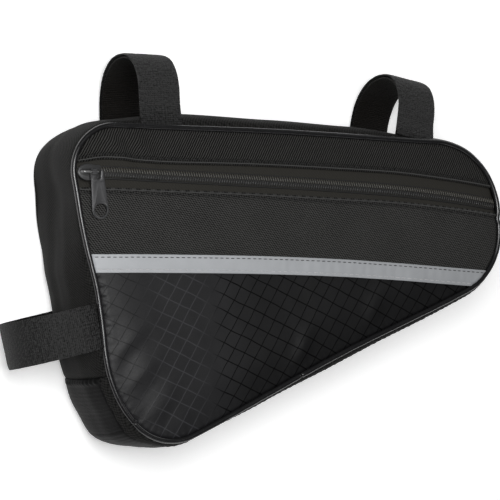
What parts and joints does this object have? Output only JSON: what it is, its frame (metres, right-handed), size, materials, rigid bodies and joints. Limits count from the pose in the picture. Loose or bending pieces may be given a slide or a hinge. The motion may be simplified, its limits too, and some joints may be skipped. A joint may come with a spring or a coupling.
{
  "type": "bicycle frame bag",
  "caption": "Triangular cloth bag for a bicycle frame, with a zip across the front, a reflective strip, a ripstop lower panel, corded edges and webbing strap loops.",
  "frame": {"origin": "middle of the flat back, under the middle of the part's length and height", "axes": "+X along the bag's top edge away from the zip slider's end, +Y towards the top edge, +Z from the flat back to the front with the zip"},
  "size_m": [0.3168, 0.228, 0.0704],
  "materials": {
    "twill_cloth": "matte twill weave, near black",
    "ripstop_cloth": "satin coated cloth with a ripstop grid, near black",
    "smooth_cloth": "smooth matte cloth, black",
    "glossy_bead": "glossy coated piping, black",
    "reflective_tape": "satin light grey reflective tape",
    "zip_tape": "matte woven zip tape, black brown",
    "coil_nylon": "satin nylon coil, black brown",
    "black_enamel": "black enamel, semi gloss",
    "webbing": "matte woven webbing, black"
  },
  "bodies": {
    "bag": {"front_upper_panel": "twill_cloth", "front_middle_panel": "twill_cloth", "gusset_upper": "twill_cloth", "gusset_seam_strip": "twill_cloth", "front_lower_panel": "ripstop_cloth", "gusset_lower": "smooth_cloth", "back_panel": "smooth_cloth", "front_piping": "glossy_bead", "reflective_strip": "reflective_tape", "zip_tape_upper": "zip_tape", "zip_tape_lower": "zip_tape", "zip_coil": "coil_nylon", "zip_slider": "black_enamel", "strap_top_left": "webbing", "strap_top_right": "webbing", "strap_side": "webbing", "strap_top_left_lining": "webbing", "strap_top_right_lining": "webbing", "strap_side_lining": "webbing"},
    "pull": {"zip_pull": "black_enamel"}
  },
  "joints": [
    {"name": "pull_swing", "type": "hinge", "parent": "bag", "child": "pull", "pos_m": [-0.11847, 0.05562, 0.06858], "axis": [-1, 0, 0], "range_deg": [0, 160]}
  ]
}
